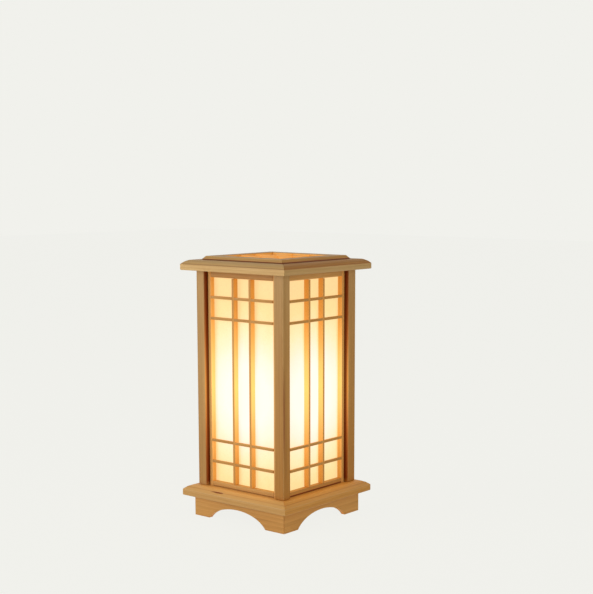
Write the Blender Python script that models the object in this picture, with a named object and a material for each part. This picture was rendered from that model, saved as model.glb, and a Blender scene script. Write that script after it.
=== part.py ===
"""A square wooden lantern lamp: arched base, pinwheel corner posts, four lattice panels, lift-off lid.

Frame: metres, +Z up, origin on the floor under the lamp's middle, front face towards -Y.
Every side is the front side turned about +Z, so each piece is drawn once, for the front.
"""
import math

import bmesh
import bpy
import numpy as np

# Driving dimensions of the body, in metres
BODY_WIDTH = 0.124  # across the outer faces of the corner posts
POST_LENGTH = 0.2386
POST_WIDE = 0.0126  # a post's width at the right-hand end of a side
POST_NARROW = 0.0113  # its width round the corner, at the left-hand end of the next side
POST_EDGE = 0.0008  # eased edge of a post
FIT_GAP = 0.0003  # between two pieces that touch

# Driving dimensions of the side panels
PANEL_SETBACK = 0.0050  # from the post faces back to the panel frame
PANEL_THICKNESS = 0.0062
STILE_WIDTH = 0.0039
GROOVE_WIDTH = 0.0009  # shadow groove between a stile's face and its post
GROOVE_DEPTH = 0.0034
TOP_RAIL_HEIGHT = 0.0072
BOTTOM_RAIL_HEIGHT = 0.0050
BAR_WIDTH = 0.0030
BAR_SPACING = 0.0243  # between the two upright bars
BAR_PROUD = 0.0005  # the lattice stands this far in front of its frame
LATH_HEIGHT = 0.0030
LATH_DEPTH = 0.0026
LATH_SPACING = 0.0238  # between the two laths of the lower pair
TOP_LATH_SPACING = 0.0229  # between the two of the upper pair
TOP_LATH_DROP = 0.0217  # from the top rail down to the first lath
BOTTOM_LATH_RISE = 0.0228  # from the bottom rail up to the first lath
SHEET_THICKNESS = 0.0006  # light-spreading sheet

# Driving dimensions of the base
APRON_STEP = 0.0033  # the aprons stand this far outside the posts
APRON_HEIGHT = 0.0228
APRON_THICKNESS = 0.0055
FOOT_LENGTH = 0.0242  # from the corner to the start of the arch
ARCH_RISE = 0.0150
ARCH_SWING = math.radians(69)  # how far round its ellipse the arch runs, each way from the crown
BASE_OVERHANG = 0.0130  # the base moulding reaches this far outside the posts
BASE_RAIL_WIDTH = 0.0250
BASE_LIP = 0.0068
BASE_SLOPE_RISE = 0.0049
BASE_SLOPE_RUN = 0.0086
BOARD_THICKNESS = 0.0050
BOARD_LEDGE = 0.0060  # the ledge that carries the floor board

# Driving dimensions of the lid
LID_OVERHANG = 0.0125
LID_LIP = 0.0064
LID_SLOPE_RISE = 0.0046
LID_SLOPE_RUN = 0.0072
LID_PLAY = 0.0010  # side play of the tongue inside the panels
TONGUE_DEPTH = 0.0060
TONGUE_WIDTH = 0.0050
RIM_SETBACK = 0.0167  # from the lid's lip in to the foot of the rim
RIM_HEIGHT = 0.0038
RIM_SLOPE_RUN = 0.0032
SHEET_LAP = 0.0029  # the lid's sheet reaches this far under the rim
LID_BAR_SPACING = 0.0243
LID_LATTICE_DROP = 0.0006  # the lid's lattice lies this far under the rim's top
SLOPE_BULGE = 0.0005  # crown of the moulded slopes
LIP_EDGE = 0.0006  # eased edge under a lip

# Driving dimensions of the lampholder
HOLDER_WALL = 0.0030
HOLDER_STAND = 0.0270  # wiring chamber between the flange and the socket floor
SOCKET_FLOOR = 0.0040
SOCKET_BRIM = 0.0014  # the body stands this far above the threaded shell
FLANGE_THICKNESS = 0.0040
FLANGE_MARGIN = 0.0008  # flange outside the screw heads
WIRE_HOLE_RADIUS = 0.0065
SHELL_LENGTH = 0.0240
SHELL_WALL = 0.0008
CONTACT_RADIUS = 0.0040
CONTACT_HEIGHT = 0.0020
SCREW_HEAD_RADIUS = 0.0030
SCREW_HEAD_HEIGHT = 0.0020
SCREW_RADIUS = 0.0015
SCREW_LENGTH = 0.0078
GROMMET_RADIUS = 0.0052
GROMMET_BORE = 0.0035
GROMMET_LIP_WIDTH = 0.0028
GROMMET_LIP_THICKNESS = 0.0015

# Driving dimensions of the bulb and its screw
THREAD_RADIUS = 0.0131  # over the crests of the bulb's cap
THREAD_DEPTH = 0.0010
THREAD_PITCH = 0.00362
THREAD_LENGTH = 0.0150
THREAD_CLEARANCE = 0.0003
CAP_FOOT = 0.0012  # plain end under the thread
CAP_SKIRT = 0.0040  # plain band above the thread
CAP_WALL = 0.0013  # between the thread's root and the glass neck
CAP_RECESS = 0.0097
TIP_RADIUS = 0.0046
TIP_HEIGHT = 0.0015
INSULATOR_HEIGHT = 0.0028
BULB_RADIUS = 0.0300
BULB_WALL = 0.0010
BULB_REACH = 0.0480  # from the cap's top to the middle of the globe
NECK_LENGTH = 0.0040  # straight neck above the cap
FLARE_ANGLE = math.radians(35)  # where the globe runs into the neck, under its equator

# How finely curves are drawn
SEGMENTS = 28
ROWS_PER_PITCH = 6
ARCH_STEPS = 16
SLOPE_STEPS = 4
GLOBE_STEPS = 9
FLARE_STEPS = 5
EDGE_STEPS = 2
SMOOTH_ANGLE = math.radians(30)

# Half widths, measured from the lamp's axis
BODY_HALF = BODY_WIDTH / 2
APRON_HALF = BODY_HALF + APRON_STEP
APRON_INNER = APRON_HALF - APRON_THICKNESS
ARCH_HALF = APRON_HALF - FOOT_LENGTH
BASE_HALF = BODY_HALF + BASE_OVERHANG
BOARD_SEAT = BASE_HALF - BASE_RAIL_WIDTH
LID_HALF = BODY_HALF + LID_OVERHANG
PANEL_FRONT = BODY_HALF - PANEL_SETBACK
PANEL_BACK = PANEL_FRONT - PANEL_THICKNESS
SHEET_BACK = PANEL_BACK - FIT_GAP - SHEET_THICKNESS
TONGUE_OUTER = min(SHEET_BACK, BODY_HALF - POST_NARROW) - LID_PLAY
TONGUE_INNER = TONGUE_OUTER - TONGUE_WIDTH
LID_OPENING = TONGUE_INNER - FIT_GAP - SHEET_LAP
RIM_FOOT = LID_HALF - RIM_SETBACK

# Heights above the floor
BASE_BOTTOM = APRON_HEIGHT + FIT_GAP
BASE_LIP_TOP = BASE_BOTTOM + BASE_LIP
BASE_TOP = BASE_LIP_TOP + BASE_SLOPE_RISE
BOARD_BOTTOM = BASE_TOP - BOARD_THICKNESS
POST_BOTTOM = BASE_TOP + FIT_GAP
POST_TOP = POST_BOTTOM + POST_LENGTH
LID_BOTTOM = POST_TOP + FIT_GAP
LID_LIP_TOP = LID_BOTTOM + LID_LIP
LID_TOP = LID_LIP_TOP + LID_SLOPE_RISE
RIM_BOTTOM = LID_TOP + FIT_GAP
RIM_TOP = RIM_BOTTOM + RIM_HEIGHT
FLANGE_BOTTOM = BASE_TOP + FIT_GAP
FLANGE_TOP = FLANGE_BOTTOM + FLANGE_THICKNESS
HOLDER_BOTTOM = FLANGE_TOP + FIT_GAP
SOCKET_FLOOR_BOTTOM = HOLDER_BOTTOM + HOLDER_STAND
SOCKET_FLOOR_TOP = SOCKET_FLOOR_BOTTOM + SOCKET_FLOOR
SHELL_BOTTOM = SOCKET_FLOOR_TOP + FIT_GAP
SHELL_TOP = SHELL_BOTTOM + SHELL_LENGTH
HOLDER_TOP = SHELL_TOP + SOCKET_BRIM
CONTACT_TOP = SHELL_BOTTOM + CONTACT_HEIGHT
TIP_BOTTOM = CONTACT_TOP + FIT_GAP
TIP_TOP = TIP_BOTTOM + TIP_HEIGHT
INSULATOR_BOTTOM = TIP_TOP + FIT_GAP
INSULATOR_TOP = INSULATOR_BOTTOM + INSULATOR_HEIGHT
CAP_BOTTOM = INSULATOR_TOP + FIT_GAP
THREAD_BOTTOM = CAP_BOTTOM + CAP_FOOT
THREAD_TOP = THREAD_BOTTOM + THREAD_LENGTH
CAP_TOP = THREAD_TOP + CAP_SKIRT
RECESS_BOTTOM = CAP_TOP - CAP_RECESS
NECK_BOTTOM = RECESS_BOTTOM + FIT_GAP
GLOBE_MIDDLE = CAP_TOP + BULB_REACH

# Radii of the lampholder and the bulb
THREAD_ROOT = THREAD_RADIUS - THREAD_DEPTH
SHELL_CREST = THREAD_RADIUS + THREAD_CLEARANCE
SHELL_OUTER = SHELL_CREST + SHELL_WALL
HOLDER_BORE = SHELL_OUTER + FIT_GAP
HOLDER_OUTER = HOLDER_BORE + HOLDER_WALL
SCREW_CIRCLE = HOLDER_OUTER + FIT_GAP + SCREW_HEAD_RADIUS
FLANGE_RADIUS = SCREW_CIRCLE + SCREW_HEAD_RADIUS + FLANGE_MARGIN
SCREW_HOLE_RADIUS = SCREW_RADIUS + FIT_GAP
SCREW_PLACES = (-SCREW_CIRCLE, SCREW_CIRCLE)
NECK_HOLE = THREAD_ROOT - CAP_WALL
NECK_RADIUS = NECK_HOLE - FIT_GAP

SIDES = ("front", "right", "back", "left")
QUARTER_TURN = math.pi / 2
ANGLES = np.linspace(0.0, 2.0 * math.pi, SEGMENTS, endpoint=False)


def linear(hex_colour):
    """The linear red, green and blue of an sRGB hex colour."""
    values = [int(hex_colour[i:i + 2], 16) / 255 for i in (0, 2, 4)]
    return [v / 12.92 if v <= 0.04045 else ((v + 0.055) / 1.055) ** 2.4 for v in values]


def finish(name, hex_colour, roughness, metallic=0.0):
    """A plain surface finish."""
    material = bpy.data.materials.new(name)
    material.use_nodes = True
    shader = material.node_tree.nodes["Principled BSDF"]
    shader.inputs["Base Color"].default_value = (*linear(hex_colour), 1.0)
    shader.inputs["Roughness"].default_value = roughness
    shader.inputs["Metallic"].default_value = metallic
    material.diffuse_color = (*linear(hex_colour), 1.0)
    return material


def add_piece(name, points, faces, material, turn=0.0):
    """One closed piece from its points and faces, turned about the lamp's axis."""
    mesh = bpy.data.meshes.new(name)
    mesh.from_pydata([tuple(map(float, p)) for p in points], [], faces)
    shape = bmesh.new()
    shape.from_mesh(mesh)
    bmesh.ops.recalc_face_normals(shape, faces=shape.faces)
    shape.to_mesh(mesh)
    shape.free()
    mesh.shade_smooth()
    mesh.set_sharp_from_angle(angle=SMOOTH_ANGLE)
    mesh.materials.append(material)
    piece = bpy.data.objects.new(name, mesh)
    piece.rotation_euler.z = turn
    bpy.context.scene.collection.objects.link(piece)
    return piece


def add_loft(name, start_loop, end_loop, material, turn=0.0):
    """A solid between two loops with the same number of points."""
    count = len(start_loop)
    sides = [(i, (i + 1) % count, count + (i + 1) % count, count + i) for i in range(count)]
    ends = [tuple(range(count)), tuple(range(count, 2 * count))]
    return add_piece(name, list(start_loop) + list(end_loop), sides + ends, material, turn)


def add_box(name, low, high, material, turn=0.0):
    """A straight square-edged piece between two corners."""
    outline = [(low[0], low[1]), (high[0], low[1]), (high[0], high[1]), (low[0], high[1])]
    start = [(x, y, low[2]) for x, y in outline]
    end = [(x, y, high[2]) for x, y in outline]
    return add_loft(name, start, end, material, turn)


def add_moulding(name, section, material, turn):
    """A moulding along the front, mitred at both ends; its section is (half width, height) points."""
    reach = [half - FIT_GAP * math.sqrt(0.5) for half, _ in section]
    start = [(-x, -half, z) for x, (half, z) in zip(reach, section)]
    end = [(x, -half, z) for x, (half, z) in zip(reach, section)]
    return add_loft(name, start, end, material, turn)


def add_turned(name, rows, material, ring=False):
    """A piece turned about the lamp's axis from (radius, height) rows.

    A radius of 0 is a pole, an array of radii gives each angle its own, and a ring closes on itself.
    """
    points = []
    loops = []
    for radius, height in rows:
        first = len(points)
        if np.isscalar(radius) and radius == 0:
            points.append((0.0, 0.0, height))
            loops.append([first])
            continue
        radii = np.broadcast_to(radius, ANGLES.shape)
        points.extend(zip(radii * np.cos(ANGLES), radii * np.sin(ANGLES), [height] * SEGMENTS))
        loops.append(list(range(first, first + SEGMENTS)))
    pairs = list(zip(loops, loops[1:]))
    if ring:
        pairs.append((loops[-1], loops[0]))
    faces = []
    for lower, upper in pairs:
        for i in range(SEGMENTS):
            j = (i + 1) % SEGMENTS
            if len(lower) == 1:
                faces.append((lower[0], upper[i], upper[j]))
            elif len(upper) == 1:
                faces.append((lower[i], lower[j], upper[0]))
            else:
                faces.append((lower[i], lower[j], upper[j], upper[i]))
    return add_piece(name, points, faces, material)


def add_cells(name, edges, filled, material, turn=0.0):
    """A lattice: the outer skin of the filled cells of a grid whose lines are edges along x, y and z."""
    padded = np.pad(filled, 1)
    numbers = {}
    points = []
    faces = []

    def corner(key):
        if key not in numbers:
            numbers[key] = len(points)
            points.append(tuple(edges[axis][key[axis]] for axis in range(3)))
        return numbers[key]

    for axis in range(3):
        first, second = [a for a in range(3) if a != axis]
        changes = np.diff(padded.astype(int), axis=axis)
        for place in np.argwhere(changes):
            base = [p if a == axis else p - 1 for a, p in enumerate(place)]
            loop = []
            for step_first, step_second in ((0, 0), (1, 0), (1, 1), (0, 1)):
                key = list(base)
                key[first] += step_first
                key[second] += step_second
                loop.append(corner(tuple(int(k) for k in key)))
            faces.append(tuple(loop))
    return add_piece(name, points, faces, material, turn)


def drill(piece, name, radius, middle, low, high):
    """Cut a round hole along Z through a piece; its corners lie between the piece's own radial edges."""
    corners = ANGLES + math.pi / SEGMENTS
    outline = [(middle[0] + radius * math.cos(a), middle[1] + radius * math.sin(a)) for a in corners]
    cutter = add_loft(name, [(x, y, low) for x, y in outline], [(x, y, high) for x, y in outline], None)
    cutter.hide_render = True
    cutter.display_type = "WIRE"
    cut = piece.modifiers.new(name, "BOOLEAN")
    cut.operation = "DIFFERENCE"
    cut.solver = "EXACT"
    cut.object = cutter


def crowned(start, end):
    """Points from start to end along a shallow curve that swells out and up by the slopes' bulge."""
    start = np.array(start)
    end = np.array(end)
    along = end - start
    outward = np.array([along[1], -along[0]]) / np.hypot(*along)
    crest = (start + end) / 2 + 2 * SLOPE_BULGE * outward
    shares = np.linspace(0.0, 1.0, SLOPE_STEPS + 1)[:, None]
    return list((1 - shares) ** 2 * start + 2 * shares * (1 - shares) * crest + shares ** 2 * end)


def thread_wave(height):
    """How far the thread stands out, from 0 at its root to 1 at its crest, round a circle at a height."""
    return (1 + np.cos(2 * math.pi * height / THREAD_PITCH - ANGLES)) / 2


def thread_rows(low, high, root, depth, faded_depth):
    """Rows of a right-handed rounded screw thread whose depth runs out to faded_depth at both ends."""
    count = max(2, round((high - low) / THREAD_PITCH * ROWS_PER_PITCH))
    rows = []
    for height in np.linspace(low, high, count + 1):
        from_end = min(height - low, high - height)
        strength = min(1.0, from_end / (THREAD_PITCH / 2))
        stand = depth * strength * thread_wave(height) + faded_depth * (1 - strength)
        rows.append((root + stand, height))
    return rows


def make_base(wood, board_finish, rubber):
    """Mitred base mouldings, arched aprons under them, the floor board and its cable grommet."""
    section = [(BASE_HALF - LIP_EDGE, BASE_BOTTOM), (BASE_HALF, BASE_BOTTOM + LIP_EDGE)]
    section += crowned((BASE_HALF, BASE_LIP_TOP), (BASE_HALF - BASE_SLOPE_RUN, BASE_TOP))
    section += [(BOARD_SEAT, BASE_TOP), (BOARD_SEAT, BOARD_BOTTOM - FIT_GAP)]
    section += [(BOARD_SEAT - BOARD_LEDGE, BOARD_BOTTOM - FIT_GAP), (BOARD_SEAT - BOARD_LEDGE, BASE_BOTTOM)]
    ellipse_half = ARCH_HALF / math.sin(ARCH_SWING)
    ellipse_rise = ARCH_RISE / (1 - math.cos(ARCH_SWING))
    sweep = np.linspace(-ARCH_SWING, ARCH_SWING, ARCH_STEPS + 1)
    arch = [(ellipse_half * math.sin(a), ARCH_RISE - ellipse_rise * (1 - math.cos(a))) for a in sweep]

    def apron_loop(half):
        end = half - FIT_GAP * math.sqrt(0.5)
        outline = [(-end, 0.0)] + arch + [(end, 0.0), (end, APRON_HEIGHT), (-end, APRON_HEIGHT)]
        return [(x, -half, z) for x, z in outline]

    for index, side in enumerate(SIDES):
        turn = index * QUARTER_TURN
        add_moulding("base_moulding_" + side, section, wood, turn)
        add_loft("apron_" + side, apron_loop(APRON_HALF), apron_loop(APRON_INNER), wood, turn)

    half = BOARD_SEAT - FIT_GAP
    board = add_box("floor_board", (-half, -half, BOARD_BOTTOM), (half, half, BASE_TOP), board_finish)
    below = BOARD_BOTTOM - BOARD_THICKNESS
    above = BASE_TOP + BOARD_THICKNESS
    drill(board, "cut_cable_hole", GROMMET_RADIUS + FIT_GAP, (0.0, 0.0), below, above)
    for index, x in enumerate(SCREW_PLACES, start=1):
        drill(board, f"cut_board_screw_{index}", SCREW_HOLE_RADIUS, (x, 0.0), below, above)
    lip_top = BOARD_BOTTOM - FIT_GAP
    lip_bottom = lip_top - GROMMET_LIP_THICKNESS
    lip_radius = GROMMET_RADIUS + GROMMET_LIP_WIDTH
    grommet = [(GROMMET_BORE, lip_bottom), (lip_radius, lip_bottom), (lip_radius, lip_top)]
    grommet += [(GROMMET_RADIUS, lip_top), (GROMMET_RADIUS, BASE_TOP), (GROMMET_BORE, BASE_TOP)]
    add_turned("cable_grommet", grommet, rubber, ring=True)


def make_posts(wood):
    """Four rectangular corner posts set pinwheel fashion, the wide face at each side's right-hand end."""
    names = ("front_right", "back_right", "back_left", "front_left")
    for index, name in enumerate(names):
        low = (BODY_HALF - POST_WIDE, -BODY_HALF, POST_BOTTOM)
        high = (BODY_HALF, -BODY_HALF + POST_NARROW, POST_TOP)
        post = add_box("corner_post_" + name, low, high, wood, index * QUARTER_TURN)
        ease = post.modifiers.new("eased_edges", "BEVEL")
        ease.width = POST_EDGE
        ease.segments = EDGE_STEPS


def make_panels(wood, paper):
    """On each side: two stiles with a shadow groove, two rails, a lattice, and the sheet behind them."""
    left = -BODY_HALF + POST_NARROW + FIT_GAP
    right = min(BODY_HALF - POST_WIDE, SHEET_BACK) - FIT_GAP  # clear of the next side's sheet
    rail_left = left + GROOVE_WIDTH + STILE_WIDTH + FIT_GAP
    rail_right = right - GROOVE_WIDTH - STILE_WIDTH - FIT_GAP
    low_rail_top = POST_BOTTOM + BOTTOM_RAIL_HEIGHT
    high_rail_bottom = POST_TOP - TOP_RAIL_HEIGHT
    middle = (left + right) / 2

    bars = [middle - BAR_SPACING / 2, middle + BAR_SPACING / 2]
    laths = [low_rail_top + BOTTOM_LATH_RISE, low_rail_top + BOTTOM_LATH_RISE + LATH_SPACING]
    laths += [high_rail_bottom - TOP_LATH_DROP - TOP_LATH_SPACING, high_rail_bottom - TOP_LATH_DROP]
    across = [rail_left] + [b + s * BAR_WIDTH / 2 for b in bars for s in (-1, 1)] + [rail_right]
    upright = [low_rail_top + FIT_GAP] + [t + s * LATH_HEIGHT / 2 for t in laths for s in (-1, 1)]
    upright += [high_rail_bottom - FIT_GAP]
    lattice_front = -PANEL_FRONT - BAR_PROUD
    deep = [lattice_front, lattice_front + LATH_DEPTH, -PANEL_BACK]
    filled = np.zeros((len(across) - 1, len(deep) - 1, len(upright) - 1), bool)
    filled[1::2, :, :] = True
    filled[:, 0, 1::2] = True

    def stile(name, outer, inward, turn):
        step = outer + inward * GROOVE_WIDTH
        inner = step + inward * STILE_WIDTH
        floor = -PANEL_FRONT + GROOVE_DEPTH
        outline = [(outer, -PANEL_BACK), (outer, floor), (step, floor)]
        outline += [(step, -PANEL_FRONT), (inner, -PANEL_FRONT), (inner, -PANEL_BACK)]
        start = [(x, y, POST_BOTTOM) for x, y in outline]
        end = [(x, y, POST_TOP) for x, y in outline]
        add_loft(name, start, end, wood, turn)

    def rail(name, bottom, top, turn):
        add_box(name, (rail_left, -PANEL_FRONT, bottom), (rail_right, -PANEL_BACK, top), wood, turn)

    for index, side in enumerate(SIDES):
        turn = index * QUARTER_TURN
        stile(side + "_left_stile", left, 1, turn)
        stile(side + "_right_stile", right, -1, turn)
        rail(side + "_bottom_rail", POST_BOTTOM, low_rail_top, turn)
        rail(side + "_top_rail", high_rail_bottom, POST_TOP, turn)
        add_cells(side + "_lattice", (across, deep, upright), filled, wood, turn)
        sheet_low = (left, -PANEL_BACK + FIT_GAP, POST_BOTTOM)
        sheet_high = (right, -SHEET_BACK, POST_TOP)
        add_box(side + "_diffuser", sheet_low, sheet_high, paper, turn)


def make_lid(wood, paper):
    """Two mitred tiers with a tongue that drops inside the panels, and a lattice over its own sheet."""
    section = [(TONGUE_OUTER, LID_BOTTOM), (LID_HALF - LIP_EDGE, LID_BOTTOM)]
    section += [(LID_HALF, LID_BOTTOM + LIP_EDGE)]
    section += crowned((LID_HALF, LID_LIP_TOP), (LID_HALF - LID_SLOPE_RUN, LID_TOP))
    section += [(TONGUE_INNER, LID_TOP), (TONGUE_INNER, LID_BOTTOM - TONGUE_DEPTH)]
    section += [(TONGUE_OUTER, LID_BOTTOM - TONGUE_DEPTH)]
    rim = crowned((RIM_FOOT, RIM_BOTTOM), (RIM_FOOT - RIM_SLOPE_RUN, RIM_TOP))
    rim += [(LID_OPENING, RIM_TOP), (LID_OPENING, RIM_BOTTOM)]
    for index, side in enumerate(SIDES):
        turn = index * QUARTER_TURN
        add_moulding("lid_moulding_" + side, section, wood, turn)
        add_moulding("lid_rim_" + side, rim, wood, turn)

    sheet_half = TONGUE_INNER - FIT_GAP
    sheet_top = RIM_BOTTOM - FIT_GAP
    sheet_low = (-sheet_half, -sheet_half, sheet_top - SHEET_THICKNESS)
    add_box("lid_diffuser", sheet_low, (sheet_half, sheet_half, sheet_top), paper)

    reach = LID_OPENING - FIT_GAP
    bars = (-LID_BAR_SPACING / 2, LID_BAR_SPACING / 2)
    lines = [-reach] + [b + s * BAR_WIDTH / 2 for b in bars for s in (-1, 1)] + [reach]
    filled = np.zeros((len(lines) - 1, len(lines) - 1, 1), bool)
    filled[1::2, :, :] = True
    filled[:, 1::2, :] = True
    add_cells("lid_lattice", (lines, lines, [RIM_BOTTOM, RIM_TOP - LID_LATTICE_DROP]), filled, wood)


def make_lampholder(bakelite, brass, steel):
    """Screw lampholder: flange and two screws on the floor board, body, threaded shell and contact."""
    flange_section = [(WIRE_HOLE_RADIUS, FLANGE_BOTTOM), (FLANGE_RADIUS, FLANGE_BOTTOM)]
    flange_section += [(FLANGE_RADIUS, FLANGE_TOP), (WIRE_HOLE_RADIUS, FLANGE_TOP)]
    flange = add_turned("holder_flange", flange_section, bakelite, ring=True)
    head_bottom = FLANGE_TOP + FIT_GAP
    below = FLANGE_BOTTOM - FLANGE_THICKNESS
    above = FLANGE_TOP + FLANGE_THICKNESS
    for index, x in enumerate(SCREW_PLACES, start=1):
        drill(flange, f"cut_flange_screw_{index}", SCREW_HOLE_RADIUS, (x, 0.0), below, above)
        screw = [(0.0, head_bottom - SCREW_LENGTH), (SCREW_RADIUS, head_bottom - SCREW_LENGTH)]
        screw += [(SCREW_RADIUS, head_bottom), (SCREW_HEAD_RADIUS, head_bottom)]
        screw += [(SCREW_HEAD_RADIUS, head_bottom + SCREW_HEAD_HEIGHT / 2)]
        screw += [(SCREW_RADIUS, head_bottom + SCREW_HEAD_HEIGHT), (0.0, head_bottom + SCREW_HEAD_HEIGHT)]
        add_turned(f"holder_screw_{index}", screw, steel).location.x = x

    body = [(0.0, SOCKET_FLOOR_BOTTOM), (HOLDER_BORE, SOCKET_FLOOR_BOTTOM), (HOLDER_BORE, HOLDER_BOTTOM)]
    body += [(HOLDER_OUTER, HOLDER_BOTTOM), (HOLDER_OUTER, HOLDER_TOP), (HOLDER_BORE, HOLDER_TOP)]
    body += [(HOLDER_BORE, SOCKET_FLOOR_TOP), (0.0, SOCKET_FLOOR_TOP)]
    add_turned("holder_body", body, bakelite)

    shell = thread_rows(SHELL_BOTTOM, SHELL_TOP, SHELL_CREST - THREAD_DEPTH, THREAD_DEPTH, THREAD_DEPTH)
    shell += [(SHELL_OUTER, SHELL_TOP), (SHELL_OUTER, SHELL_BOTTOM)]
    add_turned("holder_shell", shell, brass, ring=True)
    contact = [(0.0, SHELL_BOTTOM), (CONTACT_RADIUS, SHELL_BOTTOM)]
    contact += [(CONTACT_RADIUS, CONTACT_TOP), (0.0, CONTACT_TOP)]
    add_turned("holder_contact", contact, brass)


def globe_rows(radius, neck):
    """Rows of the bulb's outline, from the top of the globe down to the end of its neck."""
    angles = np.linspace(math.pi / 2, -FLARE_ANGLE, GLOBE_STEPS + 1)
    rows = [(radius * math.cos(a), GLOBE_MIDDLE + radius * math.sin(a)) for a in angles[1:]]
    wide, high = rows[-1]
    low = CAP_TOP + NECK_LENGTH
    slope = math.tan(FLARE_ANGLE) * (high - low)
    for share in np.linspace(1.0, 0.0, FLARE_STEPS + 1)[1:]:
        rise = share ** 2 * (3 - 2 * share)
        bend = share ** 2 * (share - 1)
        rows.append((neck + (wide - neck) * rise + slope * bend, low + (high - low) * share))
    return [(0.0, GLOBE_MIDDLE + radius)] + rows + [(neck, NECK_BOTTOM)]


def make_bulb(glass, aluminium, insulator_finish, solder):
    """Screw-cap bulb: contact tip, insulator, threaded cap and the glass globe cemented in it."""
    tip = [(0.0, TIP_BOTTOM), (TIP_RADIUS, TIP_BOTTOM), (TIP_RADIUS, TIP_TOP), (0.0, TIP_TOP)]
    add_turned("bulb_contact", tip, solder)
    insulator = [(0.0, INSULATOR_BOTTOM), (TIP_RADIUS, INSULATOR_BOTTOM)]
    insulator += [(NECK_HOLE, INSULATOR_TOP), (0.0, INSULATOR_TOP)]
    add_turned("bulb_insulator", insulator, insulator_finish)
    cap = [(0.0, CAP_BOTTOM), (NECK_HOLE, CAP_BOTTOM)]
    cap += thread_rows(THREAD_BOTTOM, THREAD_TOP, THREAD_ROOT, THREAD_DEPTH, 0.0)
    cap += [(THREAD_ROOT, CAP_TOP), (NECK_HOLE, CAP_TOP), (NECK_HOLE, RECESS_BOTTOM), (0.0, RECESS_BOTTOM)]
    add_turned("bulb_cap", cap, aluminium)
    outside = globe_rows(BULB_RADIUS, NECK_RADIUS)
    inside = globe_rows(BULB_RADIUS - BULB_WALL, NECK_RADIUS - BULB_WALL)
    add_turned("bulb_glass", outside + inside[::-1], glass)


def main():
    for old in list(bpy.data.objects):
        bpy.data.objects.remove(old, do_unlink=True)
    wood = finish("oiled_pine", "B38C56", 0.5)
    board_finish = finish("plywood", "C6A678", 0.6)
    paper = finish("parchment_sheet", "FFF4D0", 0.7)
    bakelite = finish("white_bakelite", "E6E2D8", 0.4)
    brass = finish("brass", "C9A24B", 0.35, 1.0)
    steel = finish("zinc_plated_steel", "B9BCC0", 0.35, 1.0)
    make_base(wood, board_finish, finish("black_rubber", "1E1E1E", 0.8))
    make_posts(wood)
    make_panels(wood, paper)
    make_lid(wood, paper)
    make_lampholder(bakelite, brass, steel)
    aluminium = finish("aluminium", "C8C9CB", 0.35, 1.0)
    solder = finish("solder", "A9ABAE", 0.45, 1.0)
    make_bulb(finish("opal_glass", "FBFAF4", 0.3), aluminium, finish("black_glass", "17171A", 0.25), solder)


main()
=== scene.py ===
"""Looks of the wooden lantern lamp: oiled pine with eased edges, lit paper sheets, lampholder and bulb.

Metres, +Z up, front face towards -Y. Each side is the front side turned about +Z.
"""

import math

import bpy
import numpy as np
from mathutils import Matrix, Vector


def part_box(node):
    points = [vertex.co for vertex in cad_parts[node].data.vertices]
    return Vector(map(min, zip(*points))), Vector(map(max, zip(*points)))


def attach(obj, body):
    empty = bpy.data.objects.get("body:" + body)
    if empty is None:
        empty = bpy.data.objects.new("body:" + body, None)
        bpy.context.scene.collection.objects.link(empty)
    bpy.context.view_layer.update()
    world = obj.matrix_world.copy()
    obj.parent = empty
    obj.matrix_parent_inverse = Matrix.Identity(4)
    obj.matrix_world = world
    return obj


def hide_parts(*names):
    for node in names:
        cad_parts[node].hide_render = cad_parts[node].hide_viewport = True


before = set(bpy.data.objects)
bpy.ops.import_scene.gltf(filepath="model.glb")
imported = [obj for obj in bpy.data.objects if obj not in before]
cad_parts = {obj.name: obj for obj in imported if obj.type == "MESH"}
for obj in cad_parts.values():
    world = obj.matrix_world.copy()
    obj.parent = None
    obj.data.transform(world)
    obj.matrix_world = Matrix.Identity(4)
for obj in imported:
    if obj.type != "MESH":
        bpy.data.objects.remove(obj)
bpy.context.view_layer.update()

# Camera, matched to the photograph's frame
IMAGE_WIDTH = 593
IMAGE_HEIGHT = 594
FOCAL_PIXELS = 1286.0
CENTRE_PIXEL = (310.4, 378.2)
SENSOR = 36.0  # in millimetres, as a camera's lens is
CAMERA_PLACE = (0.91989, -1.07093, 0.37209)
CAMERA_TURN = math.radians(39.15)
CAMERA_PITCH = math.radians(8.82)

# Sizes of the wooden pieces, in metres
FIT_GAP = 0.0003
MITRE_GAP = FIT_GAP * math.sqrt(0.5)  # what the gap at a mitre takes off each end
POST_EDGE = 0.0009
STRIP_EDGE = 0.0004
SHEET_EDGE = 0.0001
HAIR_EDGE = 0.0001
LIP_ROUND = 0.0011
LIP_CREASE = 0.0006
CORNER_ROUND = 0.0004
SLOPE_BULGE = 0.0005
LID_SLOPE_ROUND = 0.0018
BASE_SLOPE_ROUND = 0.0006
MITRE_EASE = 0.0003
END_DRAW_IN = 0.9  # share of its easing by which the end of a piece is drawn in
BASE_LIP = 0.0068
BASE_SLOPE_RUN = 0.0086
BOARD_LEDGE = 0.0060
LID_LIP = 0.0064
LID_SLOPE_RUN = 0.0072
TONGUE_DEPTH = 0.0060
TONGUE_WIDTH = 0.0050
RIM_SLOPE_RUN = 0.0032
FOOT_LENGTH = 0.0242
ARCH_RISE = 0.0150
ARCH_SWING = math.radians(69)  # how far round its ellipse the arch runs, each way from the crown
ARCH_SHIFTS = (-0.0025, -0.0009, 0.0, 0.0)  # how far off the middle each side's arch was sawn
BAR_WIDTH = 0.0030
BAR_SPACING = 0.0243
LATH_HEIGHT = 0.0030
LATH_DEPTH = 0.0026
LATH_SPACING = 0.0238
TOP_LATH_SPACING = 0.0229
TOP_LATH_DROP = 0.0217
BOTTOM_LATH_RISE = 0.0228
GROOVE_WIDTH = 0.0009
GROOVE_DEPTH = 0.0034

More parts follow.
